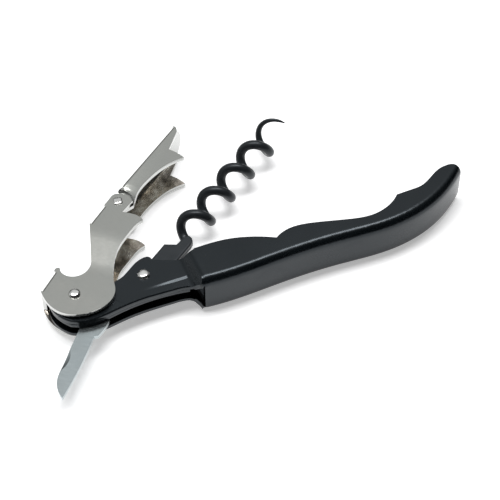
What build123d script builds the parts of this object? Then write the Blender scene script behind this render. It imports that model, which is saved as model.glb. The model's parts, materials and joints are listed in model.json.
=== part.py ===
from build123d import *
from math import cos, hypot, pi, radians, sin
import os

# Folding waiter's corkscrew with a two-step lever, millimetres.
# It lies on one side wall of its handle, with every pivot axis upright.
# Drawing frame: X runs along the handle to its tail, Y to the open side where the worm
# folds in, Z up, and Z = 0 is the mid-plane between the two side walls.

# sheet metal
SHEET = 1.2                 # handle and lever sheet
GRIP_WIDTH = 13.0           # over the handle's side walls
NECK_WIDTH = 6.3            # over the two flat walls at the head
GRIP_BEND = 2.5             # outside bend radius along the spine
LEVER_WIDTH = 12.2          # over the lever's flanges
DISC_WIDTH = 9.5            # over the lever's two pivot discs
LEVER_BEND = 1.1            # outside bend radius of the lever's webs
RUN = 0.05                  # radial clearance of every turning rivet
PLAY = 0.05                 # end play beside a turning piece

# pivots
LEVER_PIVOT = (0.25, 0.9)
HINGE = (20.9, 24.9)
WORM_PIVOT = (19.2, 1.0)
KNIFE_PIVOT = (6.5, -2.0)
PIN_RADIUS = 1.3
LEVER_HEAD = (1.6, 0.75)    # radius and height of each rivet's domed heads
WORM_HEAD = (1.7, 0.8)
HINGE_HEAD = (1.5, 0.35)

# worm
WORM_ANGLE = 34.6           # direction of the worm from the handle
WORM_PITCH = 9.9
WORM_RADIUS = 3.13          # helix radius, to the middle of the wire
WIRE = 1.3                  # wire radius
WORM_START = 17.0           # along the worm from its rivet to the first turn
WORM_PHASE = 176.6          # where the first turn starts about the worm's axis
WORM_TURNS = 4.12           # turns at full wire
POINT_TURNS = 0.8           # turns over which the wire tapers to a point
POINT = ((0, 1.3), (0.3, 0.95), (0.65, 0.65), (1, 0.18))    # share of the point's length, wire radius
SHANK_START = 9.0           # along the worm, where the wire's straight shank ends inside its foot
SHANK_ACROSS = -2.55
SHANK = 1.15                # shank radius
BASE_THICK = 2.4

# knife
BLADE = 1.2
BLADE_LOW = -0.55           # underside of the blade
KNIFE_ANGLE = 231.2         # direction of the open blade from the handle
NICK = (19.1, -8.75)        # along and across the blade, the centre of the nail nick's grinding wheel
NICK_WHEEL = 18.0           # radius of that wheel
NICK_REACH = 6.5            # radius of the circle that it leaves in the blade's face

NECK_OUT = NECK_WIDTH / 2
NECK_IN = NECK_OUT - SHEET
GRIP_OUT = GRIP_WIDTH / 2
GRIP_IN = GRIP_OUT - SHEET
LEVER_OUT = LEVER_WIDTH / 2
LEVER_IN = LEVER_OUT - SHEET
DISC_OUT = DISC_WIDTH / 2
DISC_IN = DISC_OUT - SHEET
EAR_OUT = LEVER_IN - 0.1    # the boot's two ears sit inside the lever arm
EAR_IN = EAR_OUT - SHEET
HALF = 60                   # half of a cutting solid that is larger than the object


def outline(*runs):
    """A flat face bounded by runs joined end to end: two points make a line, more a smooth curve."""
    edges = [Line(*run) if len(run) == 2 else Spline(*run) for run in runs]
    return make_face(edges)


def inset(points, depth):
    """The points of a smooth run, each moved square to the run, to its right, by depth."""
    curve = Spline(*points)
    moved = []
    for point in points:
        ahead = curve % curve.param_at_point(Vector(*point))
        moved.append((point[0] + ahead.Y * depth, point[1] - ahead.X * depth))
    return moved


def plate(face, low, high):
    """The face as a slab between two heights."""
    return extrude(Pos(0, 0, low) * face, high - low)


def both_sides(solid):
    """A solid together with its mirror image in the mid-plane."""
    return [solid, mirror(solid, about=Plane.XY)]


def disc(centre, radius, low, high):
    """An upright cylinder between two heights."""
    return Pos(centre[0], centre[1], low) * Cylinder(
        radius, high - low, align=(Align.CENTER, Align.CENTER, Align.MIN)
    )


def dome(centre, base, radius, height):
    """A shallow spherical cap standing on base, or hanging from it if base is negative."""
    ball = (radius**2 + height**2) / (2 * height)
    up = 1 if base > 0 else -1
    cap = Pos(centre[0], centre[1], base + up * (height - ball)) * Sphere(ball)
    keep = disc(centre, radius, min(base, base + up * height), max(base, base + up * height))
    return cap & keep


def rivet(centre, half_length, radius, height):
    """A pin through two walls, with a domed head of this radius and height on each side."""
    pin = disc(centre, PIN_RADIUS, -half_length, half_length)
    for side in (1, -1):
        pin += dome(centre, side * half_length, radius, height)
    return pin


def ring(centre, inner, outer, low, high):
    """A flat washer."""
    return disc(centre, outer, low, high) - disc(centre, inner, low - 1, high + 1)


def strip(a, b, depth):
    """A straight band on the right of the line from a to b, depth wide."""
    length = hypot(b[0] - a[0], b[1] - a[1])
    right = ((b[1] - a[1]) / length * depth, (a[0] - b[0]) / length * depth)
    return make_face(
        Polyline(a, b, (b[0] + right[0], b[1] + right[1]), (a[0] + right[0], a[1] + right[1]), close=True)
    )


def bend_waste(a, b, height, radius):
    """What a bend of this radius leaves off the two square corners along the line from a to b."""
    out, top = -0.5, height + 0.5
    middle = (radius * (1 - cos(radians(45))), height - radius * (1 - sin(radians(45))))
    corner = make_face([
        Polyline((radius, height), (radius, top), (out, top), (out, height - radius), (0, height - radius)),
        ThreePointArc((0, height - radius), middle, (radius, height)),
    ])
    along = Vector(b[0] - a[0], b[1] - a[1], 0)
    right = Vector(along.Y, -along.X, 0)
    waste = extrude(Plane(origin=(*a, 0), x_dir=right, z_dir=along) * corner, along.length)
    return both_sides(waste)


# ---------------------------------------------------------------- handle

GRIP_START = 32.6           # where the spine and the full width begin
NECK_END = 29.8             # where the neck walls start to spread
TAIL = (111.3, -0.4)
SPINE_START = (31.6, -9.6)

TOP_FRONT = [(-4.2, 6.0), (4.0, 5.2), (11.1, 1.9)]
TOP_HORN = [(11.1, 1.9), (16.6, 4.3), (20.6, 6.3), (22.4, 6.2), (23.0, 4.9)]
TOP_NECK = [(23.0, 4.9), (26.1, 3.4), (30.5, 1.6)]
TOP_GRIP = [(30.5, 1.6), (36.0, 1.65), (42.7, 1.2), (49.5, -0.7), (55.1, -3.4)]
TOP_WAVE = [(55.1, -3.4), (59.8, -1.75), (66.9, -2.7), (74.7, -4.9), (81.5, -6.1), (86.8, -5.0), (90.8, -2.3)]
TOP_STEP = [(90.8, -2.3), (96.6, -2.2)]
TOP_TAIL = [(96.6, -2.2), (100.3, -1.2), (104.3, 1.1), (107.4, 1.9)]
TAIL_END = [(107.4, 1.9), (110.0, 1.4), TAIL]
SPINE = [TAIL, (107.0, -3.9), (101.5, -7.2), (94.2, -9.8), (85.0, -11.0), (71.0, -10.2), (55.0, -9.85),
         (35.3, -10.0), SPINE_START]
LOW_NECK = [SPINE_START, (29.4, -7.5), (23.7, -6.6), (17.0, -6.35), (9.9, -6.85), (3.0, -7.6), (-3.4, -5.8)]
FRONT = [(-3.4, -5.8), (-5.6, -3.0), (-6.7, 0.9), (-4.2, 6.0)]


def beyond(x):
    """A large block that covers everything on the tail side of x."""
    return Pos(x + HALF, 0, 0) * Box(2 * HALF, 2 * HALF, 2 * HALF)


def before(x):
    """A large block that covers everything on the head side of x."""
    return Pos(x - HALF, 0, 0) * Box(2 * HALF, 2 * HALF, 2 * HALF)


def bend_spine(solid, half_width, radius):
    """Rounds the two long edges of the solid's spine."""
    def on_spine(edge):
        middle = edge @ 0.5
        return edge.length > 20 and middle.Y < -5 and abs(abs(middle.Z) - half_width) < 0.01
    return fillet(solid.edges().filter_by(on_spine), radius)


def handle_shell():
    """One folded sheet: two flat neck walls that spread into a channel, whose spine closes its tail."""
    side = outline(TOP_FRONT, TOP_HORN, TOP_NECK, TOP_GRIP, TOP_WAVE, TOP_STEP, TOP_TAIL, TAIL_END, SPINE,
                   LOW_NECK, FRONT)
    full = plate(side, -GRIP_OUT, GRIP_OUT)
    bent = bend_spine(full & beyond(SPINE_START[0] + 0.05), GRIP_OUT, GRIP_BEND)
    # the hollow of the channel, open above its wavy edges
    lid = 14
    floor = inset(SPINE, SHEET)
    front, end = floor[-1], floor[0]
    above = outline([(front[0], lid), (end[0], lid)], [(end[0], lid), end], floor, [front, (front[0], lid)])
    hollow = bend_spine(plate(above, -GRIP_IN, GRIP_IN), GRIP_IN, GRIP_BEND - SHEET)
    shell = (bent & beyond(GRIP_START)) - hollow
    # the flat neck walls and the slanted walls that join them to the channel
    joggle = make_face(Polyline(
        (-HALF, NECK_IN), (NECK_END + 0.45, NECK_IN), (GRIP_START + 0.4, GRIP_IN), (GRIP_START + 2, GRIP_IN),
        (GRIP_START + 2, GRIP_OUT), (GRIP_START - 0.1, GRIP_OUT), (NECK_END, NECK_OUT), (-HALF, NECK_OUT),
        close=True))
    slab = extrude(Plane.XZ * joggle, HALF, both=True)
    neck = full & slab & before(SPINE_START[0] + 0.05)
    ramp = bent & slab & before(GRIP_START + 0.35)
    for piece in both_sides(neck) + both_sides(ramp):
        shell = shell + piece
    for centre in (LEVER_PIVOT, WORM_PIVOT, KNIFE_PIVOT):
        shell = shell - disc(centre, PIN_RADIUS, -HALF, HALF)
    return shell


def knife_liner():
    """The plate between the near neck wall and the knife, which stops short of the worm's hub."""
    face = outline([(-3.6, 5.2), (4.0, 4.4), (10.6, 1.2)],
                   [(10.6, 1.2), (14.0, -3.9)],
                   [(14.0, -3.9), (28.6, -5.6)],
                   [(28.6, -5.6), (29.0, -7.2)],
                   [(29.0, -7.2), (23.7, -6.4), (17.0, -6.15), (9.9, -6.75), (3.0, -7.6), (-3.4, -5.9)],
                   [(-3.4, -5.9), (-5.4, -3.0), (-6.4, 0.9), (-3.6, 5.2)])
    solid = plate(face, NECK_IN - SHEET, NECK_IN)
    for centre in (LEVER_PIVOT, KNIFE_PIVOT):
        solid -= disc(centre, PIN_RADIUS, -HALF, HALF)
    return solid


# ---------------------------------------------------------------- lever

RAMP = (9.7, 20.0)          # from the pivot, where the flanges start and end their outward step
HOOK_WEB = ((-7.5, 5.3), (-2.2, 9.86))
BACK_WEB = ((11.4, 20.7), (17.0, 24.98))


def lever_side():
    """The lever arm's flange, with the cap lifter's notch and the first step's tooth."""
    return outline(
        [HOOK_WEB[0], HOOK_WEB[1]],
        [HOOK_WEB[1], (-1.5, 10.7), (-0.9, 10.7), (-0.7, 9.6)],
        [(-0.7, 9.6), (0.3, 7.3), (3.4, 6.1), (6.4, 7.3), (7.9, 9.7)],
        [(7.9, 9.7), (9.3, 14.0), BACK_WEB[0]],
        [BACK_WEB[0], (19.4, 26.8)],
        [(19.4, 26.8), (21.1, 27.55), (23.2, 26.7), (24.4, 24.6), (24.6, 23.4)],
        [(24.6, 23.4), (20.8, 20.9)],
        [(20.8, 20.9), (22.6, 19.6), (24.6, 17.2), (24.9, 16.2)],
        [(24.9, 16.2), (23.7, 15.9), (19.6, 13.3), (15.6, 10.0), (12.9, 6.0), (11.0, 0.8), (10.5, -1.6),
         (8.4, -4.5), (4.0, -6.1), (-0.6, -5.85), (-4.2, -4.0), (-6.7, -0.4), (-7.5, 3.4), HOOK_WEB[0]],
    )


def lever_arm():
    """The first piece of the lever: two joggled flanges, a cap-lifter lip and a back web."""
    block = plate(lever_side(), -LEVER_OUT, LEVER_OUT)
    profile = make_face(Polyline(
        (-HALF, DISC_IN), (RAMP[0], DISC_IN), (RAMP[1], LEVER_IN), (HALF, LEVER_IN),
        (HALF, LEVER_OUT), (RAMP[1], LEVER_OUT), (RAMP[0], DISC_OUT), (-HALF, DISC_OUT), close=True))
    towards = Vector(HINGE[0] - LEVER_PIVOT[0], HINGE[1] - LEVER_PIVOT[1], 0).normalized()
    across = Plane(origin=(*LEVER_PIVOT, 0), x_dir=towards, z_dir=towards.cross(Vector(0, 0, 1)))
    slab = extrude(across * profile, HALF, both=True)
    arm = plate(strip(*HOOK_WEB, SHEET), -DISC_OUT, DISC_OUT)
    arm += plate(strip(*BACK_WEB, SHEET), -LEVER_OUT, LEVER_OUT)
    for flange in both_sides(block & slab):
        arm += flange
    for waste in bend_waste(*HOOK_WEB, DISC_OUT, LEVER_BEND) + bend_waste(*BACK_WEB, LEVER_OUT, LEVER_BEND):
        arm -= waste
    arm -= disc(LEVER_PIVOT, PIN_RADIUS + RUN, -HALF, HALF)
    arm -= disc(HINGE, PIN_RADIUS, -HALF, HALF)
    return arm


BOOT_WEB = ((21.8, 28.5), (44.2, 44.58))
TONGUE = 2.15               # how far the boot's rounded end stands out
BOOT_STEP = (4.2, 5.3)      # from the hinge, where the boot's flanges step out to the full width


def tongue():
    """The boot's rounded end, a shallow arc that carries the web on past its flanges."""
    along = Vector(BOOT_WEB[1][0] - BOOT_WEB[0][0], BOOT_WEB[1][1] - BOOT_WEB[0][1], 0)
    right = Vector(along.Y, -along.X, 0)
    wide = LEVER_OUT - LEVER_BEND
    face = make_face([
        ThreePointArc((-wide, 0), (0, TONGUE), (wide, 0)),
        Polyline((wide, 0), (wide, -1), (-wide, -1), (-wide, 0)),
    ])
    place = Plane(origin=(*BOOT_WEB[1], 0), x_dir=(0, 0, -1), z_dir=right)
    return extrude(place * face, SHEET)


def lever_boot():
    """The second piece of the lever: a channel with two ears at the hinge, a tooth and a tongue."""
    side = outline(
        [BOOT_WEB[0], BOOT_WEB[1]],
        [BOOT_WEB[1], (44.8, 44.35), (45.0, 43.4), (44.4, 41.95)],
        [(44.4, 41.95), (40.3, 37.0)],
        [(40.3, 37.0), (42.0, 34.7), (43.0, 32.6)],
        [(43.0, 32.6), (37.9, 32.0), (31.7, 29.3), (27.0, 25.9), (24.6, 22.9)],
        [(24.6, 22.9), (21.4, 22.15)],
        [(21.4, 22.15), (18.6, 23.3), (18.6, 26.5), (20.4, 27.66)],
        [(20.4, 27.66), BOOT_WEB[0]],
    )
    profile = make_face(Polyline(
        (0, EAR_IN), (BOOT_STEP[0] + 0.5, EAR_IN), (BOOT_STEP[1] + 0.5, LEVER_IN), (HALF, LEVER_IN),
        (HALF, LEVER_OUT), (BOOT_STEP[1], LEVER_OUT), (BOOT_STEP[0], EAR_OUT), (0, EAR_OUT), close=True))
    envelope = make_face(Polyline(
        (0, -EAR_OUT), (BOOT_STEP[0], -EAR_OUT), (BOOT_STEP[1], -LEVER_OUT), (HALF, -LEVER_OUT),
        (HALF, LEVER_OUT), (BOOT_STEP[1], LEVER_OUT), (BOOT_STEP[0], EAR_OUT), (0, EAR_OUT), close=True))
    here = Pos(*HINGE, 0)
    slab = here * revolve(Plane.XZ * profile, Axis.Z)
    room = here * revolve(Plane.XZ * envelope, Axis.Z)
    flange = plate(side, -LEVER_OUT, LEVER_OUT) & slab
    boot = plate(strip(*BOOT_WEB, SHEET), -LEVER_OUT, LEVER_OUT)
    for half in both_sides(flange):
        boot += half
    for waste in bend_waste(*BOOT_WEB, LEVER_OUT, LEVER_BEND):
        boot -= waste
    boot &= room
    boot += tongue()
    boot -= disc(HINGE, PIN_RADIUS + RUN, -HALF, HALF)
    return boot


# ---------------------------------------------------------------- worm

def along_worm(along, across=0.0):
    """A point of the mid-plane, measured along the worm from its rivet and to its left."""
    turn = radians(WORM_ANGLE)
    return (WORM_PIVOT[0] + along * cos(turn) - across * sin(turn),
            WORM_PIVOT[1] + along * sin(turn) + across * cos(turn))


def turned_out(turns):
    """The direction from the worm's axis to the middle of its wire after some turns."""
    turn = radians(WORM_ANGLE)
    phase = radians(WORM_PHASE) + 2 * pi * turns
    return Vector(-sin(turn), cos(turn), 0) * cos(phase) + Vector(0, 0, 1) * sin(phase)


def coil(first, turns):
    """The middle of the wire over some turns, from the turn given."""
    turn = radians(WORM_ANGLE)
    origin = (*along_worm(WORM_START + WORM_PITCH * first), 0)
    place = Plane(origin=origin, x_dir=turned_out(first), z_dir=(cos(turn), sin(turn), 0))
    return place.location * Helix(WORM_PITCH, WORM_PITCH * turns, WORM_RADIUS)


def worm():
    """A right-handed wire helix on a straight shank, with a tapered point."""
    path = coil(0, WORM_TURNS)
    solid = sweep(Plane(origin=path @ 0, z_dir=path % 0) * Circle(WIRE), path, is_frenet=True)
    path = coil(WORM_TURNS, POINT_TURNS)
    sections = [Plane(origin=path @ share, z_dir=path % share) * Circle(radius) for share, radius in POINT]
    solid += sweep(sections, path, is_frenet=True, multisection=True)
    # the straight shank that the foot holds, and the tight bend into the first turn
    turn = radians(WORM_ANGLE)
    start = (*along_worm(SHANK_START, SHANK_ACROSS), 0)
    shank = Cylinder(SHANK, WORM_START - SHANK_START, align=(Align.CENTER, Align.CENTER, Align.MIN))
    solid += Plane(origin=start, z_dir=(cos(turn), sin(turn), 0)) * shank
    bend = Vector(*along_worm(WORM_START), 0) + turned_out(0) * WORM_RADIUS
    solid += Pos(*bend) * Sphere(WIRE)
    return solid


def worm_base():
    """The flat foot that carries the worm and turns on its rivet."""
    points = [(0, 3.3), (6.0, 2.3), (12.7, 2.3), (14.4, -0.5), (17.6, -0.8), (18.3, -1.8), (16.6, -3.75),
              (8.5, -3.75), (0, -3.0)]
    top, corner = [along_worm(*p) for p in points[:4]], [along_worm(*p) for p in points[3:]]
    hub = along_worm(-3.1, 0.15)
    face = outline([top[0], top[1]], [top[1], top[2]], [top[2], top[3]], [corner[0], corner[1]],
                   [corner[1], corner[2], corner[3]], [corner[3], corner[4]], [corner[4], corner[5]],
                   [corner[5], hub, top[0]])
    return plate(face, -BASE_THICK / 2, BASE_THICK / 2) - disc(WORM_PIVOT, PIN_RADIUS + RUN, -HALF, HALF)


# ---------------------------------------------------------------- knife

def along_knife(along, across):
    """A point of the plan, measured along the open blade from its rivet and to its left."""
    turn = radians(KNIFE_ANGLE)
    return (KNIFE_PIVOT[0] + along * cos(turn) - across * sin(turn),
            KNIFE_PIVOT[1] + along * sin(turn) + across * cos(turn))


def knife_blade():
    """A short foil-cutting blade with a straight back, a round tip, a heel and a nail nick."""
    tang = [(-2.9, 0.4), (-1.2, -2.7), (3.0, -3.0)]
    back = [(3.0, -3.0), (24.0, -3.35)]
    tip = [(24.0, -3.35), (27.6, -2.4), (30.3, 0.0)]
    cutting = [(30.3, 0.0), (24.0, 0.75), (10.3, 1.35)]
    heel = [(10.3, 1.35), (9.8, 2.3)]
    root = [(9.8, 2.3), (1.0, 2.8), (-2.9, 0.4)]
    runs = [[along_knife(*p) for p in run] for run in (tang, back, tip, cutting, heel, root)]
    blade = plate(outline(*runs), BLADE_LOW, BLADE_LOW + BLADE)
    above = (NICK_WHEEL**2 - NICK_REACH**2) ** 0.5
    blade -= Pos(*along_knife(*NICK), BLADE_LOW + BLADE + above) * Sphere(NICK_WHEEL)
    return blade - disc(KNIFE_PIVOT, PIN_RADIUS + RUN, -HALF, HALF)


# ---------------------------------------------------------------- rivets, washers and spacers

LEVER_WASHER = 3.4          # outside radii
WORM_WASHER = 2.6
KNIFE_WASHER = 2.5
SPACER = 2.2


def pair_of_washers(centre, outer, low, high):
    """Two equal washers that turn on a rivet, one each side of the mid-plane."""
    return both_sides(ring(centre, PIN_RADIUS + RUN, outer, low, high))


def knife_rivet():
    """A pin whose ends are peened flush with the neck walls, because the lever passes over them."""
    return disc(KNIFE_PIVOT, PIN_RADIUS, -NECK_OUT, NECK_OUT)


def build():
    """Every piece by name. A pair of washers is a list of two solids."""
    gap = PLAY / 2
    return {
        "handle_shell": handle_shell(),
        "knife_liner": knife_liner(),
        "lever_rivet": rivet(LEVER_PIVOT, DISC_OUT + PLAY, *LEVER_HEAD),
        "worm_rivet": rivet(WORM_PIVOT, NECK_OUT, *WORM_HEAD),
        "knife_rivet": knife_rivet(),
        "lever_washers": pair_of_washers(LEVER_PIVOT, LEVER_WASHER, NECK_OUT + gap, DISC_IN - gap),
        "neck_spacer": ring(LEVER_PIVOT, PIN_RADIUS, SPACER, -NECK_IN, NECK_IN - SHEET),
        "worm_washers": pair_of_washers(WORM_PIVOT, WORM_WASHER, BASE_THICK / 2 + gap, NECK_IN - gap),
        "knife_washer": ring(KNIFE_PIVOT, PIN_RADIUS + RUN, KNIFE_WASHER, -NECK_IN + gap, BLADE_LOW - gap),
        "knife_blade": knife_blade(),
        "worm": worm(),
        "worm_base": worm_base(),
        "lever_arm": lever_arm(),
        "hinge_rivet": rivet(HINGE, LEVER_OUT, *HINGE_HEAD),
        "lever_boot": lever_boot(),
    }


def export(nodes):
    """Writes every piece to parts/, moved so that the object stands on Z = 0, centred in plan."""
    pieces = {}
    for name, shape in nodes.items():
        pieces[name] = Compound(children=shape) if isinstance(shape, list) else shape
    boxes = [piece.bounding_box() for piece in pieces.values()]
    middle_x = (min(b.min.X for b in boxes) + max(b.max.X for b in boxes)) / 2
    middle_y = (min(b.min.Y for b in boxes) + max(b.max.Y for b in boxes)) / 2
    print("moved by", -middle_x, -middle_y, GRIP_OUT)
    os.makedirs("parts", exist_ok=True)
    for name, piece in pieces.items():
        export_step(Pos(-middle_x, -middle_y, GRIP_OUT) * piece, f"parts/{name}.step")


if __name__ == "__main__":
    export(build())
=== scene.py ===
import json
import math

import bmesh
import bpy
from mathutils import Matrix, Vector, noise


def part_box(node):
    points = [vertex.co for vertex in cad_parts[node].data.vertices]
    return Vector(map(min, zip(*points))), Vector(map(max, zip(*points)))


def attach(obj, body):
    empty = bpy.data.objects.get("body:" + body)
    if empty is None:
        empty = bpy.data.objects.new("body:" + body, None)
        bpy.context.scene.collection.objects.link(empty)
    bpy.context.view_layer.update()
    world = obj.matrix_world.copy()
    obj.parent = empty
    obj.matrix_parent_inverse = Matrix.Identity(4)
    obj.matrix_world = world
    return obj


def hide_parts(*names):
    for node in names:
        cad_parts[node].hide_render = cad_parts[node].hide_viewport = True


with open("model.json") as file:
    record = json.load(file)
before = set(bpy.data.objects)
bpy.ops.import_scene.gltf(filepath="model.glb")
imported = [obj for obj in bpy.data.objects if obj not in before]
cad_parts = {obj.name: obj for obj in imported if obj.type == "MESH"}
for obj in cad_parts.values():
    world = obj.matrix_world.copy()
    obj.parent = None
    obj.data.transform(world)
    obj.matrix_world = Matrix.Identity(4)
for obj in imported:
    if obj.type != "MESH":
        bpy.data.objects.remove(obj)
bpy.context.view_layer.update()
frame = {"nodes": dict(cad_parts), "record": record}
scene = bpy.context.scene
MM = 0.001

# the drawing frame of the CAD, in millimetres: X along the handle, Z = 0 the middle of its width
LEVER_PIVOT = Vector((0.25, 0.9, 0))
WORM_PIVOT = Vector((19.2, 1.0, 0))
HINGE = Vector((20.9, 24.9, 0))
KNIFE_PIVOT = Vector((6.5, -2.0, 0))
KNIFE_ANGLE = math.radians(231.2)
rivet_low, rivet_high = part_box("lever_rivet")
ORIGIN = (rivet_low + rivet_high) / 2 - LEVER_PIVOT * MM


def at(x, y, z=0.0):
    """A point of the drawing frame, in the row frame."""
    return ORIGIN + Vector((x, y, z)) * MM


# ---------------------------------------------------------------- camera

AIM = at(48.996, 0.152)        # the point that the camera looks at
DISTANCE = 0.45
AZIMUTH, ELEVATION = math.radians(-22.82), math.radians(51.5)
LENS = 121.5


def add_camera():
    """The camera at the photo's viewing angle."""
    data = bpy.data.cameras.new("camera")
    data.lens, data.sensor_width = LENS, 36
    data.clip_start, data.clip_end = 0.01, 10
    camera = bpy.data.objects.new("camera", data)
    back = Vector((math.sin(AZIMUTH) * math.cos(ELEVATION), -math.cos(AZIMUTH) * math.cos(ELEVATION),
                   math.sin(ELEVATION)))
    camera.location = AIM + back * DISTANCE
    camera.rotation_euler = (-back).to_track_quat("-Z", "Y").to_euler()
    scene.collection.objects.link(camera)
    scene.camera = camera


# ---------------------------------------------------------------- floor and light

def add_floor():
    """A plain pale floor."""
    mesh = bpy.data.meshes.new("floor")
    reach = 3.0
    corners = [(-reach, -reach, 0), (reach, -reach, 0), (reach, reach, 0), (-reach, reach, 0)]
    mesh.from_pydata(corners, [], [(0, 1, 2, 3)])
    floor = bpy.data.objects.new("floor", mesh)
    scene.collection.objects.link(floor)
    material = bpy.data.materials.new("pale_floor")
    material.use_nodes = True
    shader = material.node_tree.nodes["Principled BSDF"]
    shader.inputs["Base Color"].default_value = (0.93, 0.93, 0.935, 1)
    shader.inputs["Roughness"].default_value = 0.9
    shader.inputs["Specular IOR Level"].default_value = 0.1
    shader.inputs["Emission Color"].default_value = (1, 1, 1, 1)
    shader.inputs["Emission Strength"].default_value = 0.40
    floor.data.materials.append(material)


def add_strip(place, size, power):
    """A long soft lamp over the object, parallel to its handle and facing straight down."""
    data = bpy.data.lights.new("strip", "AREA")
    data.shape, data.size, data.size_y = "RECTANGLE", size[0], size[1]
    data.energy = power
    lamp = bpy.data.objects.new("strip", data)
    lamp.location = place
    scene.collection.objects.link(lamp)


def add_world(strength):
    """A soft sky that is dark on the camera's side and near the horizon."""
    world = bpy.data.worlds.new("studio")
    world.use_nodes = True
    nodes, links = world.node_tree.nodes, world.node_tree.links
    split = nodes.new("ShaderNodeSeparateXYZ")
    links.new(nodes.new("ShaderNodeTexCoord").outputs["Generated"], split.inputs[0])
    shares = []
    # along each axis the light goes from a first to a last share between two values of the direction
    for axis, low, high, first, last in (("Y", -0.12, 0.30, 0.05, 1.0), ("Z", 0.32, 0.70, 0.15, 1.0),
                                         ("X", -0.45, -0.75, 0.0, 0.9)):
        share = nodes.new("ShaderNodeMapRange")
        share.interpolation_type = "SMOOTHSTEP"
        for socket, value in zip(share.inputs[1:5], (low, high, first, last)):
            socket.default_value = value
        links.new(split.outputs[axis], share.inputs[0])
        shares.append(share.outputs[0])
    wide = nodes.new("ShaderNodeMath")
    wide.operation = "MAXIMUM"
    links.new(shares[1], wide.inputs[0])
    links.new(shares[2], wide.inputs[1])
    product = nodes.new("ShaderNodeMath")
    product.operation = "MULTIPLY"
    links.new(shares[0], product.inputs[0])
    links.new(wide.outputs[0], product.inputs[1])
    scale = nodes.new("ShaderNodeMath")
    scale.operation = "MULTIPLY"
    scale.inputs[1].default_value = strength
    links.new(product.outputs[0], scale.inputs[0])
    nodes["Background"].inputs["Color"].default_value = (0.97, 0.99, 1.0, 1)
    links.new(scale.outputs[0], nodes["Background"].inputs["Strength"])
    scene.world = world


add_camera()
add_floor()
add_world(strength=0.70)
add_strip(place=(-0.03, 0.095, 0.75), size=(0.75, 0.21), power=5.3)


# ---------------------------------------------------------------- materials

class Shading:
    """A node material under construction."""

    def __init__(self, name):
        self.material = bpy.data.materials.new(name)
        self.material.use_nodes = True
        self.nodes = self.material.node_tree.nodes
        self.links = self.material.node_tree.links
        self.shader = self.nodes["Principled BSDF"]
        self.place = self.nodes.new("ShaderNodeTexCoord").outputs["Object"]

    def set(self, **values):
        """Sets the shader's values. An underscore stands for a space."""
        for name, value in values.items():
            self.shader.inputs[name.replace("_", " ")].default_value = value

    def feed(self, socket, source):
        """Drives one of the shader's values by a node."""
        self.links.new(source, self.shader.inputs[socket])

    def stretched(self, scale, turn=(0, 0, 0)):
        """Object coordinates, turned and then scaled per axis, in cycles per metre."""
        mapping = self.nodes.new("ShaderNodeMapping")
        mapping.vector_type = "TEXTURE"
        mapping.inputs["Rotation"].default_value = turn
        self.links.new(self.place, mapping.inputs[0])
        multiply = self.nodes.new("ShaderNodeVectorMath")
        multiply.operation = "MULTIPLY"
        multiply.inputs[1].default_value = scale
        self.links.new(mapping.outputs[0], multiply.inputs[0])
        return multiply.outputs[0]

    def noise(self, vector, detail=2.0, rough=0.5):
        """Noise from 0 to 1, one cycle per unit of the vector."""
        node = self.nodes.new("ShaderNodeTexNoise")
        node.inputs["Scale"].default_value = 1.0
        node.inputs["Detail"].default_value = detail
        node.inputs["Roughness"].default_value = rough
        self.links.new(vector, node.inputs["Vector"])
        return node.outputs["Fac"]

    def ramp(self, source, *stops):
        """Colours at positions along a 0 to 1 value."""
        node = self.nodes.new("ShaderNodeValToRGB")
        elements = node.color_ramp.elements
        while len(elements) < len(stops):
            elements.new(0.5)
        for element, (position, colour) in zip(elements, stops):
            element.position = position
            element.color = (*colour, 1)
        self.links.new(source, node.inputs[0])
        return node.outputs[0]

    def range(self, source, low, high, to_low, to_high):
        """A value stretched from one range to another, and clamped."""
        node = self.nodes.new("ShaderNodeMapRange")
        for socket, value in zip(node.inputs[1:5], (low, high, to_low, to_high)):
            socket.default_value = value
        self.links.new(source, node.inputs[0])
        return node.outputs[0]

    def math(self, operation, a, b):
        """A sum or product of two nodes or numbers."""
        node = self.nodes.new("ShaderNodeMath")
        node.operation = operation
        for socket, value in zip(node.inputs, (a, b)):
            if isinstance(value, (int, float)):
                socket.default_value = value
            else:
                self.links.new(value, socket)
        return node.outputs[0]

    def mix(self, share, a, b):
        """A colour between two others. Each value is a node, a colour or a number."""
        node = self.nodes.new("ShaderNodeMix")
        node.data_type = "RGBA"
        for socket, value in ((node.inputs[0], share), (node.inputs[6], a), (node.inputs[7], b)):
            if isinstance(value, tuple):
                socket.default_value = (*value, 1)
            elif isinstance(value, (int, float)):
                socket.default_value = value
            else:
                self.links.new(value, socket)
        return node.outputs[2]

    def bump(self, height, strength, distance):
        """Fine relief, its distance in metres."""
        node = self.nodes.new("ShaderNodeBump")
        node.inputs["Strength"].default_value = strength
        node.inputs["Distance"].default_value = distance
        self.links.new(height, node.inputs["Height"])
        self.feed("Normal", node.outputs[0])

    def height(self):
        """Height above the floor at rest, in metres."""
        split = self.nodes.new("ShaderNodeSeparateXYZ")
        self.links.new(self.place, split.inputs[0])
        return split.outputs["Z"]

    def facing_up(self):
        """How far the surface faces up, from -1 to 1."""
        normal = self.nodes.new("ShaderNodeTexCoord").outputs["Normal"]
        split = self.nodes.new("ShaderNodeSeparateXYZ")
        self.links.new(normal, split.inputs[0])
        return split.outputs["Z"]


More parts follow.
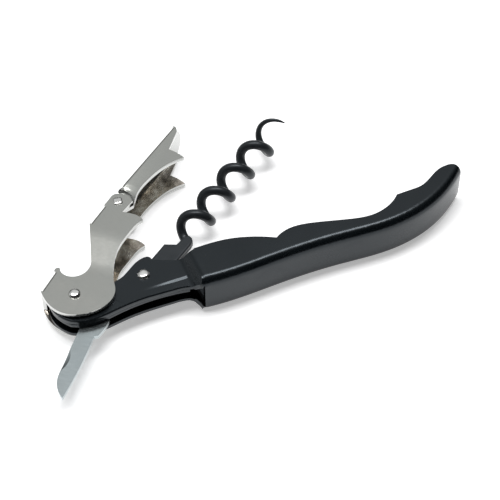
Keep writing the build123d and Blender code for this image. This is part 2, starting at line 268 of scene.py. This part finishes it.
def black_paint():
    """Satin black stove enamel: a fine orange peel, cloudy gloss and a few pale dust grains."""
    s = Shading("black_paint")
    s.set(Metallic=0.0, Specular_IOR_Level=0.44, Specular_Tint=(0.86, 0.96, 1.04, 1))
    cloud = s.noise(s.stretched((70, 70, 70)), 3.0)
    grain = s.noise(s.stretched((2600, 2600, 2600)), 2.0)
    peel = s.noise(s.stretched((800, 800, 800)), 2.0)
    colour = s.mix(cloud, (0.0012, 0.0022, 0.0028), (0.0026, 0.0040, 0.0050))
    dust = s.range(grain, 0.70, 0.78, 0.0, 0.35)
    s.feed("Base Color", s.mix(dust, colour, (0.02, 0.024, 0.027)))
    gloss = s.range(cloud, 0.3, 0.7, 0.20, 0.25)
    s.feed("Roughness", s.math("ADD", gloss, s.range(grain, 0.3, 0.7, 0.0, 0.04)))
    s.bump(peel, 0.07, 0.00005)
    return s.material


def lever_steel():
    """Satin nickel plate: a fine grain, brownish mottles of painted reflection and shade on the upward
    faces low in the channel, and cut edges painted paler as a highlight.
    """
    s = Shading("lever_steel")
    s.set(Metallic=1.0)
    grain = s.noise(s.stretched((5200, 900, 2600), (0, 0, math.radians(50))), 3.0, 0.6)
    cloud = s.noise(s.stretched((140, 140, 140)), 3.0)
    blotch = s.noise(s.stretched((420, 420, 260)), 4.0, 0.6)
    bright = s.mix(grain, (0.405, 0.410, 0.385), (0.455, 0.460, 0.434))
    bright = s.mix(s.range(cloud, 0.35, 0.7, 0.0, 0.35), bright, (0.42, 0.41, 0.383))
    # painted reflection and shade: upward faces low in the channel get dark and pale brownish mottles, for
    # what they mirror and the shade there
    deep = s.range(s.height(), 0.0045, 0.0060, 1.0, 0.0)
    painted_reflection_mask = s.math("MULTIPLY", deep, s.range(s.facing_up(), 0.3, 0.8, 0, 1))
    painted_reflection_colour = s.ramp(blotch, (0.3, (0.17, 0.14, 0.11)), (0.5, (0.52, 0.46, 0.40)),
                   (0.68, (0.80, 0.76, 0.70)))
    # painted highlight: faces that lean to the side, the sheet's cut edges, turn paler, standing in for the
    # bright floor they mirror
    edge_highlight = s.range(s.math("ABSOLUTE", s.facing_up(), 0), 0.55, 0.85, 1.0, 0.0)
    face = s.mix(s.math("MULTIPLY", painted_reflection_mask, 0.85), bright, painted_reflection_colour)
    s.feed("Base Color", s.mix(edge_highlight, face, (0.56, 0.565, 0.55)))
    gloss = s.range(grain, 0.3, 0.7, 0.17, 0.22)
    s.feed("Roughness", s.math("ADD", gloss, s.range(cloud, 0.3, 0.7, 0.0, 0.03)))
    s.bump(grain, 0.03, 0.00001)
    return s.material


def blade_steel():
    """Stainless blade steel, ground across its length, slightly blue."""
    s = Shading("blade_steel")
    s.set(Metallic=1.0)
    lines = s.noise(s.stretched((300, 4200, 300), (0, 0, KNIFE_ANGLE - math.radians(90))), 3.0, 0.6)
    cloud = s.noise(s.stretched((200, 200, 200)), 2.0)
    colour = s.mix(lines, (0.41, 0.455, 0.465), (0.47, 0.52, 0.53))
    s.feed("Base Color", s.mix(s.range(cloud, 0.35, 0.7, 0.0, 0.3), colour, (0.40, 0.432, 0.432)))
    s.feed("Roughness", s.range(lines, 0.3, 0.7, 0.17, 0.24))
    s.bump(lines, 0.05, 0.00001)
    return s.material


def worm_coating():
    """Dry black non-stick coating: matt, faintly pebbled and slightly grey where it is thin."""
    s = Shading("worm_coating")
    s.set(Metallic=0.0, Specular_IOR_Level=0.32, Specular_Tint=(0.9, 0.97, 1.02, 1))
    pebble = s.noise(s.stretched((1800, 1800, 1800)), 3.0)
    cloud = s.noise(s.stretched((250, 250, 250)), 3.0)
    s.feed("Base Color", s.mix(cloud, (0.013, 0.015, 0.017), (0.021, 0.0235, 0.026)))
    s.feed("Roughness", s.range(cloud, 0.3, 0.7, 0.30, 0.40))
    s.bump(pebble, 0.12, 0.00003)
    return s.material


def rivet_steel():
    """Bright rivet wire, with the small facets that peening leaves."""
    s = Shading("rivet_steel")
    s.set(Metallic=1.0)
    facets = s.nodes.new("ShaderNodeTexVoronoi")
    facets.inputs["Scale"].default_value = 1400
    s.links.new(s.place, facets.inputs["Vector"])
    cloud = s.noise(s.stretched((500, 500, 500)), 2.0)
    s.feed("Base Color", s.mix(cloud, (0.62, 0.61, 0.59), (0.80, 0.80, 0.78)))
    s.feed("Roughness", s.range(cloud, 0.3, 0.7, 0.12, 0.26))
    s.bump(facets.outputs["Distance"], 0.25, 0.00008)
    return s.material


MAKERS = (black_paint, lever_steel, blade_steel, worm_coating, rivet_steel)
MATERIALS = {make.__name__: make() for make in MAKERS}


# ---------------------------------------------------------------- mesh helpers

SHARP = math.radians(40)         # an edge that bends more than this is a real edge
PANEL_BEND = math.radians(25)    # a face that leans less than this from its panel takes the panel's shading
FLAT, NEARLY_FLAT = 0.999, 0.985     # how far a flat panel's normal points sideways out of the tool
ROUND_SEGMENTS = 3
EDGE_WIDTH = 0.45                # of the slope that deburring leaves along an outline
WELD_GAP = 1e-7                  # in metres: closer than this, two vertices are one
SLACK = 0.1                      # how far outside a panel a vertex may lie and still follow it
ON_LEVEL = 1e-4                  # in millimetres: closer than this, a vertex is on a cut


def add_bevel(piece, width):
    """Rounds a piece's sharp edges by a width in millimetres."""
    bevel = piece.modifiers.new("edges", "BEVEL")
    bevel.width = width * MM
    bevel.segments = ROUND_SEGMENTS
    bevel.limit_method = "ANGLE"
    bevel.angle_limit = SHARP
    bevel.use_clamp_overlap = True
    bevel.harden_normals = True


def finished(name, bm, finish, body, nodes, height=None, sharp=SHARP):
    """A piece from a bmesh, with its finish, the body it rides on and the CAD nodes it stands for.

    Where a piece has flat or gently bent panels, height gives the outer one's distance from the
    mid-plane. Edges that bend more than sharp are shaded as edges."""
    mesh = bpy.data.meshes.new(name)
    bmesh.ops.recalc_face_normals(bm, faces=bm.faces)
    bm.to_mesh(mesh)
    bm.free()
    for polygon in mesh.polygons:
        polygon.use_smooth = True
    mesh.set_sharp_from_angle(angle=sharp)
    if height:
        set_panel_normals(mesh, height)
    mesh.materials.append(MATERIALS[finish])
    piece = bpy.data.objects.new(name, mesh)
    scene.collection.objects.link(piece)
    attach(piece, body)
    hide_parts(*nodes)
    return piece


def set_panel_normals(mesh, height):
    """Shades the panels by the slope of their height, and lets the rounded edges start from them."""
    panel = mesh.attributes["panel"].data
    step = 0.03
    shifts = (Vector((step, 0, 0)), Vector((0, step, 0)))
    upward = {}
    for polygon in mesh.polygons:
        if not panel[polygon.index].value:
            continue
        for vertex in polygon.vertices:
            if vertex not in upward:
                place = (mesh.vertices[vertex].co - ORIGIN) / MM
                slopes = [(height(place + shift) - height(place - shift)) / (2 * step) for shift in shifts]
                upward[vertex] = Vector((-slopes[0], -slopes[1], 1)).normalized()
    normals = [normal.vector.copy() for normal in mesh.corner_normals]
    for polygon in mesh.polygons:
        for corner_index, vertex in zip(polygon.loop_indices, polygon.vertices):
            if vertex in upward:
                normal = upward[vertex].copy()
                if polygon.normal.z < 0:
                    normal.z = -normal.z
                if panel[polygon.index].value or normal.angle(polygon.normal) < PANEL_BEND:
                    normals[corner_index] = normal
    mesh.normals_split_custom_set(normals)


def edged(bm, width, drop, height, chosen):
    """Gives chosen outlines a wide shallow slope, as deburred sheet has: width and drop in millimetres.

    Height gives the panels' distance from the mid-plane."""
    ring = (0.5 * width, 1.2 * width)    # the bevel leaves a ring of vertices this far below the panel
    edges = []
    for edge in bm.edges:
        flat = [abs(face.normal.z) > NEARLY_FLAT for face in edge.link_faces]
        middle = ((edge.verts[0].co + edge.verts[1].co) / 2 - ORIGIN) / MM
        if sum(flat) == 1 and len(flat) == 2 and edge.calc_face_angle() > SHARP and chosen(middle):
            edges.append(edge)
    made = bmesh.ops.bevel(bm, geom=edges, offset=width * MM, offset_type="OFFSET", segments=1, profile=0.5,
                           affect="EDGES", clamp_overlap=False)
    for vert in {v for face in made["faces"] for v in face.verts}:
        place = (vert.co - ORIGIN) / MM
        outer = height(place)
        if outer - ring[1] < abs(place.z) < outer - ring[0]:
            vert.co.z = ORIGIN.z + math.copysign((outer - drop) * MM, place.z)


def rounded(bm, width, is_panel):
    """Rounds a mesh's sharp edges by a width in millimetres, and marks its panels."""
    mark = bm.faces.layers.int.new("panel")
    for face in bm.faces:
        face[mark] = int(is_panel(face.normal, (face.calc_center_median() - ORIGIN) / MM))
    edges = [e for e in bm.edges if len(e.link_faces) == 2 and e.calc_face_angle() > SHARP]
    made = bmesh.ops.bevel(bm, geom=edges, offset=width * MM, offset_type="OFFSET", segments=ROUND_SEGMENTS,
                           profile=0.5, affect="EDGES", clamp_overlap=True)
    for face in made["faces"]:
        face[mark] = 0


def node_copy(node):
    """A CAD node's mesh as a welded bmesh, in the row frame."""
    bm = bmesh.new()
    bm.from_mesh(frame["nodes"][node].data)
    bmesh.ops.remove_doubles(bm, verts=bm.verts, dist=WELD_GAP)
    for layer in list(bm.loops.layers.uv):
        bm.loops.layers.uv.remove(layer)
    return bm


def sliced(bm, measure, levels):
    """Cuts the mesh wherever a measure of its place, in the drawing frame, takes one of the levels."""
    for level in levels:
        value = {v: measure((v.co - ORIGIN) / MM) for v in bm.verts}
        fresh = []
        for edge in list(bm.edges):
            a, b = (value[v] - level for v in edge.verts)
            if a * b < 0 and min(abs(a), abs(b)) > ON_LEVEL:
                start = edge.verts[0]
                fresh.append(bmesh.utils.edge_split(edge, start, a / (a - b))[1])
            else:
                fresh += [v for v in edge.verts if abs(value[v] - level) <= ON_LEVEL]
        bmesh.ops.connect_verts(bm, verts=list(dict.fromkeys(fresh)))


def reshaped(bm, old, new):
    """Moves every vertex away from the mid-plane by the difference between two heights at its place."""
    for vert in bm.verts:
        place = (vert.co - ORIGIN) / MM
        if abs(place.z) < old(place) + SLACK:
            vert.co.z += math.copysign(MM, place.z) * (new(place) - old(place))


def corner(value, at_value, slope_change, half_width):
    """How much a profile moves at a corner when the corner is rounded."""
    reach = half_width - abs(value - at_value)
    return slope_change * reach * reach / (4 * half_width) if reach > 0 else 0.0


ROUNDING = (-1, -0.6, -0.2, 0.2, 0.6, 1)        # where a rounded corner is cut, in half widths


def ringed(bm, rings, closed_ends=True):
    """Skins a stack of closed rings of equal size, and gives their vertices ring by ring."""
    rows = [[bm.verts.new(p) for p in ring] for ring in rings]
    for low, high in zip(rows, rows[1:]):
        for i in range(len(low)):
            j = (i + 1) % len(low)
            bm.faces.new((low[i], low[j], high[j], high[i]))
    if closed_ends:
        bm.faces.new(rows[0][::-1])
        bm.faces.new(rows[-1])
    return rows


# ---------------------------------------------------------------- handle

NECK_HALF, GRIP_HALF = 3.15, 6.5                # half the handle's width, over its neck and over its grip
SPINE_HALF, WALL_FROM = 1.5, 2.5                # the spine keeps its shape up to here, and walls start here
SPREAD = (29.8, 32.5)            # between these places the walls spread from the neck to the grip
SPREAD_SLOPE = (GRIP_HALF - NECK_HALF) / (SPREAD[1] - SPREAD[0])
SPREAD_FACING = (0.4, 0.8)       # the spreading wall's normal points sideways by a share between these
SPREAD_ROUND = 1.0
SLANT, SLANT_LEVEL, SLANT_SHIFT = 0.19, -4.7, 0.3   # how the far end of the spread leans along the handle
SLANT_LIMITS = (-0.4, 0.9)
SLANT_REACH, SLANT_FROM = 1.4, 3.4              # it works this near that end, this far from the mid-plane
CREASE = (Vector((16.6, -3.1, 0)), Vector((30.4, -3.5, 0)))    # a shallow pressed step along the neck wall
CREASE_DEPTH, CREASE_WIDTH, CREASE_FADE = 0.21, 1.0, 9.0
CREASE_END, BESIDE_CREASE = 30.2, -5.0          # where it stops, and what stands for places beyond that
CREASE_CUTS = (17, 19, 21, 23, 25.6)            # where the walls are cut across while the crease deepens
CREASE_SHARES = (0, 0.2, 0.4, 0.6, 0.8, 1.0)    # and where they are cut along, in shares of its width
NECK_EDGE_DROP = 0.13
NECK_EDGE_LIMITS = (28.9, -2)    # before the first and below the second is the neck's lower outline
PAINT_ROUND = 0.15


def handle_body():
    """The handle's shell with its bends rounded, and the pressed step along both neck walls."""
    bm = node_copy("handle_shell")
    ahead = (CREASE[1] - CREASE[0]).normalized()
    side = Vector((ahead.y, -ahead.x, 0))

    def along(place):
        return place.x

    def across(place):
        if place.x >= CREASE_END:
            return BESIDE_CREASE
        return (Vector((place.x, place.y, 0)) - CREASE[0]).dot(side)

    def old(place):
        return NECK_HALF + SPREAD_SLOPE * (min(max(place.x, SPREAD[0]), SPREAD[1]) - SPREAD[0])

    def new(place):
        if abs(place.z) < SPINE_HALF:
            return old(place)
        total = old(place) + corner(place.x, SPREAD[0], SPREAD_SLOPE, SPREAD_ROUND)
        total += corner(place.x, SPREAD[1], -SPREAD_SLOPE, SPREAD_ROUND)
        if abs(place.z) > WALL_FROM and place.x < CREASE_END:
            fade = min(max((place.x - CREASE[0].x) / CREASE_FADE, 0), 1)
            share = min(max(across(place) / CREASE_WIDTH, 0), 1)
            total -= CREASE_DEPTH * fade * share * share * (3 - 2 * share)
        return total

    def on_neck_edge(place):
        on_wall = abs(abs(place.z) - NECK_HALF) < 0.05
        return on_wall and place.x < NECK_EDGE_LIMITS[0] and place.y < NECK_EDGE_LIMITS[1]

    def is_panel(normal, place):
        low, high = SPREAD_FACING
        spreading = abs(normal.y) < 0.02 and low < abs(normal.z) < high
        return abs(normal.z) > FLAT or (spreading and SPREAD[0] < place.x < SPREAD[1])

    edged(bm, EDGE_WIDTH, NECK_EDGE_DROP, old, on_neck_edge)
    rounded(bm, PAINT_ROUND, is_panel)
    sliced(bm, across, [CREASE_WIDTH * share for share in CREASE_SHARES])
    sliced(bm, along, CREASE_CUTS)
    sliced(bm, along, [end + SPREAD_ROUND * share for end in SPREAD for share in ROUNDING])
    reshaped(bm, old, new)
    for vert in bm.verts:
        place = (vert.co - ORIGIN) / MM
        near = 1 - abs(place.x - SPREAD[1]) / SLANT_REACH
        if near > 0 and abs(place.z) > SLANT_FROM:
            lean = SLANT * (place.y - SLANT_LEVEL) - SLANT_SHIFT
            vert.co.x += near * min(max(lean, SLANT_LIMITS[0]), SLANT_LIMITS[1]) * MM
    return finished("handle_body", bm, "black_paint", "handle", ["handle_shell"], new)


# ---------------------------------------------------------------- lever

LEVER_TOWARDS = (HINGE - LEVER_PIVOT).normalized()
DISC_HALF, FLANGE_HALF = 4.75, 6.1              # half the lever's width, at its discs and at its flanges
WEB_HALF, FLANGE_FROM = 3.2, 3.0                # webs lie nearer the mid-plane, and flanges further out
RAMP = (9.7, 20.0)               # from the pivot, where the flanges start and end their outward step
RAMP_SLOPE = (FLANGE_HALF - DISC_HALF) / (RAMP[1] - RAMP[0])
RAMP_ROUND = 1.8
BESIDE_RAMP, BESIDE_STEP = -50.0, 60.0          # what stands for a web, where the flanges' steps don't work
STEEL_ROUND = 0.22

# how far the boot's flanges stand out at a distance from the hinge: in the CAD, and more gently here
STEP_OLD = ((0, 4.8), (4.2, 4.8), (5.3, 6.1), (90, 6.1))
STEP_NEW = ((0, 4.8), (4.2, 4.8), (4.5, 5.3), (5.3, 5.76), (6.4, 6.02), (7.0, 6.1), (90, 6.1))
STEP_CUTS = (4.2, 4.35, 4.5, 4.9, 5.3, 5.7, 6.1, 6.4, 7.0)
STEP_FACING = 0.6                # a flange's normal points out by at least this, also on the step


def between(knots, value):
    """A straight-line profile through knots."""
    for (x0, y0), (x1, y1) in zip(knots, knots[1:]):
        if x0 <= value <= x1:
            return y0 + (y1 - y0) * (value - x0) / (x1 - x0)
    return knots[-1][1]


def arm_body():
    """The lever arm, with the two bends of its flanges rounded."""
    bm = node_copy("lever_arm")

    def along(place):
        return (place - LEVER_PIVOT).dot(LEVER_TOWARDS) if abs(place.z) > WEB_HALF else BESIDE_RAMP

    def old(place):
        return DISC_HALF + RAMP_SLOPE * (min(max(along(place), RAMP[0]), RAMP[1]) - RAMP[0])

    def new(place):
        return (old(place) + corner(along(place), RAMP[0], RAMP_SLOPE, RAMP_ROUND)
                + corner(along(place), RAMP[1], -RAMP_SLOPE, RAMP_ROUND))

    def is_panel(normal, place):
        return abs(normal.z) > NEARLY_FLAT and abs(place.z) > FLANGE_FROM

    rounded(bm, STEEL_ROUND, is_panel)
    sliced(bm, along, [end + RAMP_ROUND * share for end in RAMP for share in ROUNDING])
    reshaped(bm, old, new)
    return finished("arm_body", bm, "lever_steel", "lever_arm", ["lever_arm"], new)


def boot_body():
    """The lever boot, its flanges spreading gently from the hinge."""
    bm = node_copy("lever_boot")

    def reach(place):
        if abs(place.z) <= WEB_HALF:
            return BESIDE_STEP
        return math.hypot(place.x - HINGE.x, place.y - HINGE.y)

    def old(place):
        return between(STEP_OLD, reach(place))

    def new(place):
        return between(STEP_NEW, reach(place))

    def is_panel(normal, place):
        on_flange = abs(place.z) > FLANGE_FROM and abs(normal.z) > STEP_FACING
        on_step = STEP_OLD[1][0] < reach(place) < STEP_OLD[2][0]
        return on_flange and (abs(normal.z) > FLAT or on_step)

    rounded(bm, STEEL_ROUND, is_panel)
    sliced(bm, reach, STEP_CUTS)
    reshaped(bm, old, new)
    return finished("boot_body", bm, "lever_steel", "lever_boot", ["lever_boot"], new)


# ---------------------------------------------------------------- worm

WORM_ANGLE = math.radians(34.6)
PITCH, COIL_RADIUS, WIRE = 9.9, 3.13, 1.3
COIL_START, COIL_PHASE = 17.0, math.radians(176.6)
FIRST_TURN = 0.22                               # where the wire leaves its bend and follows the coil
SHANK_START, BEND_START = (9.0, -2.55), (14.6, -2.0)    # along and left of the worm, from its rivet
BEND_LEAVES, BEND_ARRIVES = 5.0, 4.5            # how strongly the bend keeps its first and last direction
SHANK_RADIUS = 1.15
BEND_STEPS, STEPS_PER_TURN, WIRE_SIDES = 14, 60, 20
TIP_START, TIP_END = 4.1, 4.87                  # turns between which the coil opens toward its point
TIP_OUT, TIP_ON = 0.8, 0.5                      # how far the point strays from the coil, outward and along
# the wire's radius after some turns, where it tapers
TAPER = ((4.05, 1.3), (4.2, 1.22), (4.35, 1.03), (4.5, 0.83), (4.68, 0.6), (4.8, 0.42), (4.87, 0.16))
ALONG = Vector((math.cos(WORM_ANGLE), math.sin(WORM_ANGLE), 0))
LEFT = Vector((-ALONG.y, ALONG.x, 0))
UP = Vector((0, 0, 1))


def on_coil(turns):
    """The middle of the wire after some turns, in the drawing frame."""
    opening = max(turns - TIP_START, 0) / (TIP_END - TIP_START)
    phase = COIL_PHASE + 2 * math.pi * turns
    out = LEFT * math.cos(phase) + UP * math.sin(phase)
    return (WORM_PIVOT + ALONG * (COIL_START + PITCH * turns + TIP_ON * opening * opening)
            + out * (COIL_RADIUS + TIP_OUT * opening))


def wire_at(turns):
    """The wire's radius after some turns."""
    for (t0, r0), (t1, r1) in zip(TAPER, TAPER[1:]):
        if t0 <= turns <= t1:
            return r0 + (r1 - r0) * (turns - t0) / (t1 - t0)
    return WIRE


def hermite(a, da, b, db, steps):
    """Points of a smooth curve between two places with given directions."""
    points = []
    for i in range(steps):
        t = i / steps
        points.append(a * (2 * t**3 - 3 * t**2 + 1) + da * (t**3 - 2 * t**2 + t)
                      + b * (3 * t**2 - 2 * t**3) + db * (t**3 - t**2))
    return points


def tube(bm, points, radii, sides):
    """A round tube through points, its rings carried along without twist."""
    rings = []
    side = UP
    for i, (point, radius) in enumerate(zip(points, radii)):
        ahead = (points[min(i + 1, len(points) - 1)] - points[max(i - 1, 0)]).normalized()
        side = (side - ahead * side.dot(ahead)).normalized()
        other = ahead.cross(side)
        ring = []
        for k in range(sides):
            turn = 2 * math.pi * k / sides
            ring.append(at(*(point + (side * math.cos(turn) + other * math.sin(turn)) * radius)))
        rings.append(ring)
    ringed(bm, rings)


def worm_wire():
    """The worm: a shank in the foot, a tight bend, the coil and a point that opens slightly."""
    start = on_coil(FIRST_TURN)
    ahead = (on_coil(FIRST_TURN + 0.001) - start).normalized()
    shank, bend = (WORM_PIVOT + ALONG * x + LEFT * y for x, y in (SHANK_START, BEND_START))
    points = [shank] + hermite(bend, ALONG * BEND_LEAVES, start, ahead * BEND_ARRIVES, BEND_STEPS)
    radii = [SHANK_RADIUS]
    radii += [SHANK_RADIUS + (WIRE - SHANK_RADIUS) * i / BEND_STEPS for i in range(BEND_STEPS)]
    count = int((TIP_END - FIRST_TURN) * STEPS_PER_TURN)
    for i in range(count + 1):
        turns = FIRST_TURN + (TIP_END - FIRST_TURN) * i / count
        points.append(on_coil(turns))
        radii.append(wire_at(turns))
    bm = bmesh.new()
    tube(bm, points, radii, WIRE_SIDES)
    return finished("worm_wire", bm, "worm_coating", "worm", ["worm"])


# the foot's outline, along and left of the worm, from its rivet
FOOT_CORNERS = ((0, 3.3), (6.0, 2.3), (12.7, 2.3), (14.4, -0.5), (17.6, -0.8), (18.4, -1.1),
                (18.75, -1.8), (18.5, -2.7), (17.8, -3.45), (16.6, -3.75), (8.5, -3.75), (0, -3.0),
                (-1.7, -2.3), (-2.8, -1.1), (-3.1, 0.15), (-2.7, 1.6), (-1.5, 2.8))
FOOT_THICK = 2.4
FOOT_STEP = 0.8                  # about how far apart its outline's vertices are
FOOT_BORE, BORE_SIDES = 1.35, 32


def worm_foot():
    """The worm's foot: sheet folded round the shank, so its rim is two rounded layers and a seam."""
    half = FOOT_THICK / 2
    # inset and height, from the lower face round the rim to the upper face
    rim = ((0.60, -half), (0.30, -half), (0.10, -half + 0.10), (0.0, -half + 0.32), (0.0, -0.28),
           (0.10, -0.08), (0.10, 0.08), (0.0, 0.28), (0.0, half - 0.32), (0.10, half - 0.10),
           (0.30, half), (0.60, half))
    corners = [Vector((x, y, 0)) for x, y in FOOT_CORNERS]
    outline = []
    for i, start in enumerate(corners):
        after = corners[(i + 1) % len(corners)]
        count = max(1, round((after - start).length / FOOT_STEP))
        for k in range(count):
            outline.append(start.lerp(after, k / count))
    rings = []
    for inset, level in rim:
        ring = []
        for i, point in enumerate(outline):
            before, after = outline[i - 1], outline[(i + 1) % len(outline)]
            ahead = (after - before).normalized()
            inward = Vector((ahead.y, -ahead.x, 0))
            moved = point + inward * inset
            place = WORM_PIVOT + ALONG * moved.x + LEFT * moved.y
            ring.append(at(place.x, place.y, level))
        rings.append(ring)
    bm = bmesh.new()
    rows = ringed(bm, rings, closed_ends=False)
    circle = []
    for k in range(BORE_SIDES):
        turn = 2 * math.pi * k / BORE_SIDES
        circle.append((WORM_PIVOT.x + FOOT_BORE * math.cos(turn),
                       WORM_PIVOT.y + FOOT_BORE * math.sin(turn)))
    bore = ringed(bm, [[at(x, y, level) for x, y in circle] for level in (-half, half)], closed_ends=False)
    for row, hole in ((rows[0], bore[0]), (rows[-1], bore[1])):
        edges = [bm.edges.get((loop[i], loop[(i + 1) % len(loop)]))
                 for loop in (row, hole) for i in range(len(loop))]
        bmesh.ops.triangle_fill(bm, edges=edges, use_beauty=True)
    return finished("worm_foot", bm, "worm_coating", "worm", ["worm_base"])


# ---------------------------------------------------------------- knife

BLADE_TOP, BLADE_LOW = 0.65, -0.55              # the blade's two faces
CUTTING = (10.9, 1.5)            # along and across the blade, beyond which its outline is ground
CUTTING_DROP = 0.12
BLADE_SHARP = math.radians(12)


def knife():
    """The blade, its cutting edge ground from both faces."""
    bm = node_copy("knife_blade")
    ahead = Vector((math.cos(KNIFE_ANGLE), math.sin(KNIFE_ANGLE), 0))
    left = Vector((-ahead.y, ahead.x, 0))

    def height(place):
        return BLADE_TOP if place.z > 0 else -BLADE_LOW

    def on_cutting_edge(place):
        place = place - KNIFE_PIVOT
        return place.dot(ahead) > CUTTING[0] and place.dot(left) > CUTTING[1]

    edged(bm, EDGE_WIDTH, CUTTING_DROP, height, on_cutting_edge)
    return finished("knife", bm, "blade_steel", "knife", ["knife_blade"], sharp=BLADE_SHARP)


# ---------------------------------------------------------------- rivets

RIVET_SIDES = 48
PIN_RADIUS = 1.3
# a head's profile, in shares of its radius and of its height
DOME = ((0.25, 1.0), (0.55, 0.95), (0.74, 0.82), (0.89, 0.55), (0.98, 0.25), (1.0, 0.0))
HAMMERED = 1.6                   # cycles per millimetre of a head's unevenness
UNEVEN_IN, UNEVEN_UP = 0.02, 0.05
DOME_RIM = 0.9                   # beyond this share of its radius a head stays level


def turned_rivet(name, node, body, centre, half_length, head, height, lobes, depth, seed):
    """A rivet turned from wire, each end peened into a low dome with uneven lobes."""
    levels = [(share * head, half_length + height * up, 1.0) for share, up in DOME]
    levels.append((PIN_RADIUS, half_length, 0.0))
    levels = levels + [(radius, -up, lobed) for radius, up, lobed in reversed(levels)]
    rings = []
    for radius, level, lobed in levels:
        ring = []
        for k in range(RIVET_SIDES):
            turn = 2 * math.pi * k / RIVET_SIDES
            spot = Vector((math.cos(turn) * radius, math.sin(turn) * radius, 0))
            wave = 0.5 + 0.5 * math.cos(lobes * turn + seed)
            rough = noise.noise(spot * HAMMERED + Vector((seed, level, 0)))
            shrink = 1 - lobed * (depth * wave + UNEVEN_IN * abs(rough))
            outward = 1 if level > 0 else -1
            lift = lobed * UNEVEN_UP * rough * outward * (radius < head * DOME_RIM)
            ring.append(at(centre.x + spot.x * shrink, centre.y + spot.y * shrink, level + lift))
        rings.append(ring)
    bm = bmesh.new()
    ringed(bm, rings)
    return finished(name, bm, "rivet_steel", body, [node])


# ---------------------------------------------------------------- the object

CAD_ROUND = 0.1                  # rounds the edges of the CAD's own meshes

for node, obj in frame["nodes"].items():
    row = next(s for s in frame["record"]["subparts"] if s["node"] == node)
    obj.data.materials.clear()
    obj.data.materials.append(MATERIALS[row["material_slot"]])
    weld = obj.modifiers.new("weld", "WELD")
    weld.merge_threshold = WELD_GAP
    add_bevel(obj, CAD_ROUND)

handle_body()
arm_body()
boot_body()
worm_wire()
worm_foot()
knife()
turned_rivet("lever_pin", "lever_rivet", "handle", LEVER_PIVOT, half_length=4.8, head=1.6, height=0.75,
             lobes=3, depth=0.05, seed=1.0)
turned_rivet("worm_pin", "worm_rivet", "handle", WORM_PIVOT, half_length=NECK_HALF, head=1.7, height=0.8,
             lobes=5, depth=0.03, seed=2.2)
turned_rivet("hinge_pin", "hinge_rivet", "lever_arm", HINGE, half_length=FLANGE_HALF, head=1.5, height=0.35,
             lobes=4, depth=0.16, seed=0.6)

scene.view_settings.view_transform = "Standard"
